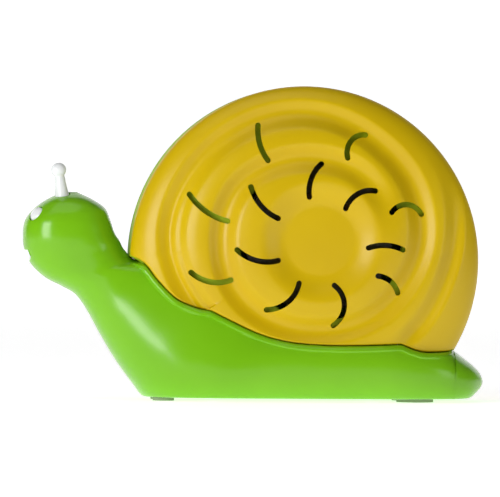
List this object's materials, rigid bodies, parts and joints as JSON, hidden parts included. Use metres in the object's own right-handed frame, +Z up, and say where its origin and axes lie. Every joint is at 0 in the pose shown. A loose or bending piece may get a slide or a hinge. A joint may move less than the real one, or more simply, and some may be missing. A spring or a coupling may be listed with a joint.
{
  "type": "tape dispenser",
  "caption": "Snail-shaped desk tape dispenser with a slotted round shell over the roll and the tape coming out at the mouth.",
  "frame": {"origin": "middle of the footprint, on the surface that the feet stand on", "axes": "+X from the head towards the tail, +Z up, -Y towards the cover that comes off"},
  "size_m": [0.15, 0.0502, 0.102],
  "materials": {
    "green_body": "glossy moulded ABS",
    "yellow_cover": "satin gloss moulded ABS",
    "white_trim": "glossy",
    "steel_pin": "ground",
    "spring_clip": "blackened",
    "felt_washer": "pressed felt",
    "natural_hub": "satin",
    "paper_core": "wound paper board",
    "clear_tape": "wound film",
    "blade_steel": "stamped, bright",
    "ballast_iron": "rough cast",
    "zinc_screws": "zinc plated",
    "rubber_feet": "clear soft pads, slightly grey"
  },
  "bodies": {
    "body": {"body_near": "green_body", "body_far": "green_body", "near_housing": "green_body", "far_housing": "green_body", "far_shell_cover": "yellow_cover", "near_eye": "white_trim", "far_eye": "white_trim", "near_feeler": "white_trim", "far_feeler": "white_trim", "spindle": "steel_pin", "spindle_clip": "spring_clip", "drag_washer": "felt_washer", "tape_lead": "clear_tape", "roller_pin": "steel_pin", "mouth_guide": "natural_hub", "cutter_blade": "blade_steel", "blade_rivets": "steel_pin", "ballast": "ballast_iron", "base_plate": "green_body", "base_screws": "zinc_screws", "housing_screws": "zinc_screws", "front_feet": "rubber_feet", "rear_feet": "rubber_feet"},
    "spool": {"tape_hub": "natural_hub", "tape_core": "paper_core", "tape_roll": "clear_tape"},
    "roller": {"guide_roller": "natural_hub"},
    "cover": {"near_shell_cover": "yellow_cover"}
  },
  "joints": [
    {"name": "spool_spin", "type": "hinge", "parent": "body", "child": "spool", "pos_m": [0.02077, 0, 0.05285], "axis": [0, 1, 0], "continuous": true},
    {"name": "guide_roller_spin", "type": "hinge", "parent": "body", "child": "roller", "pos_m": [-0.03382, 0, 0.02798], "axis": [0, 1, 0], "continuous": true},
    {"name": "near_cover_pull", "type": "slide", "parent": "body", "child": "cover", "axis": [0, -1, 0], "range_m": [0, 0.045]}
  ],
  "couplings": [
    {"joint": "guide_roller_spin", "follows": "spool_spin", "ratio": -4.8}
  ]
}
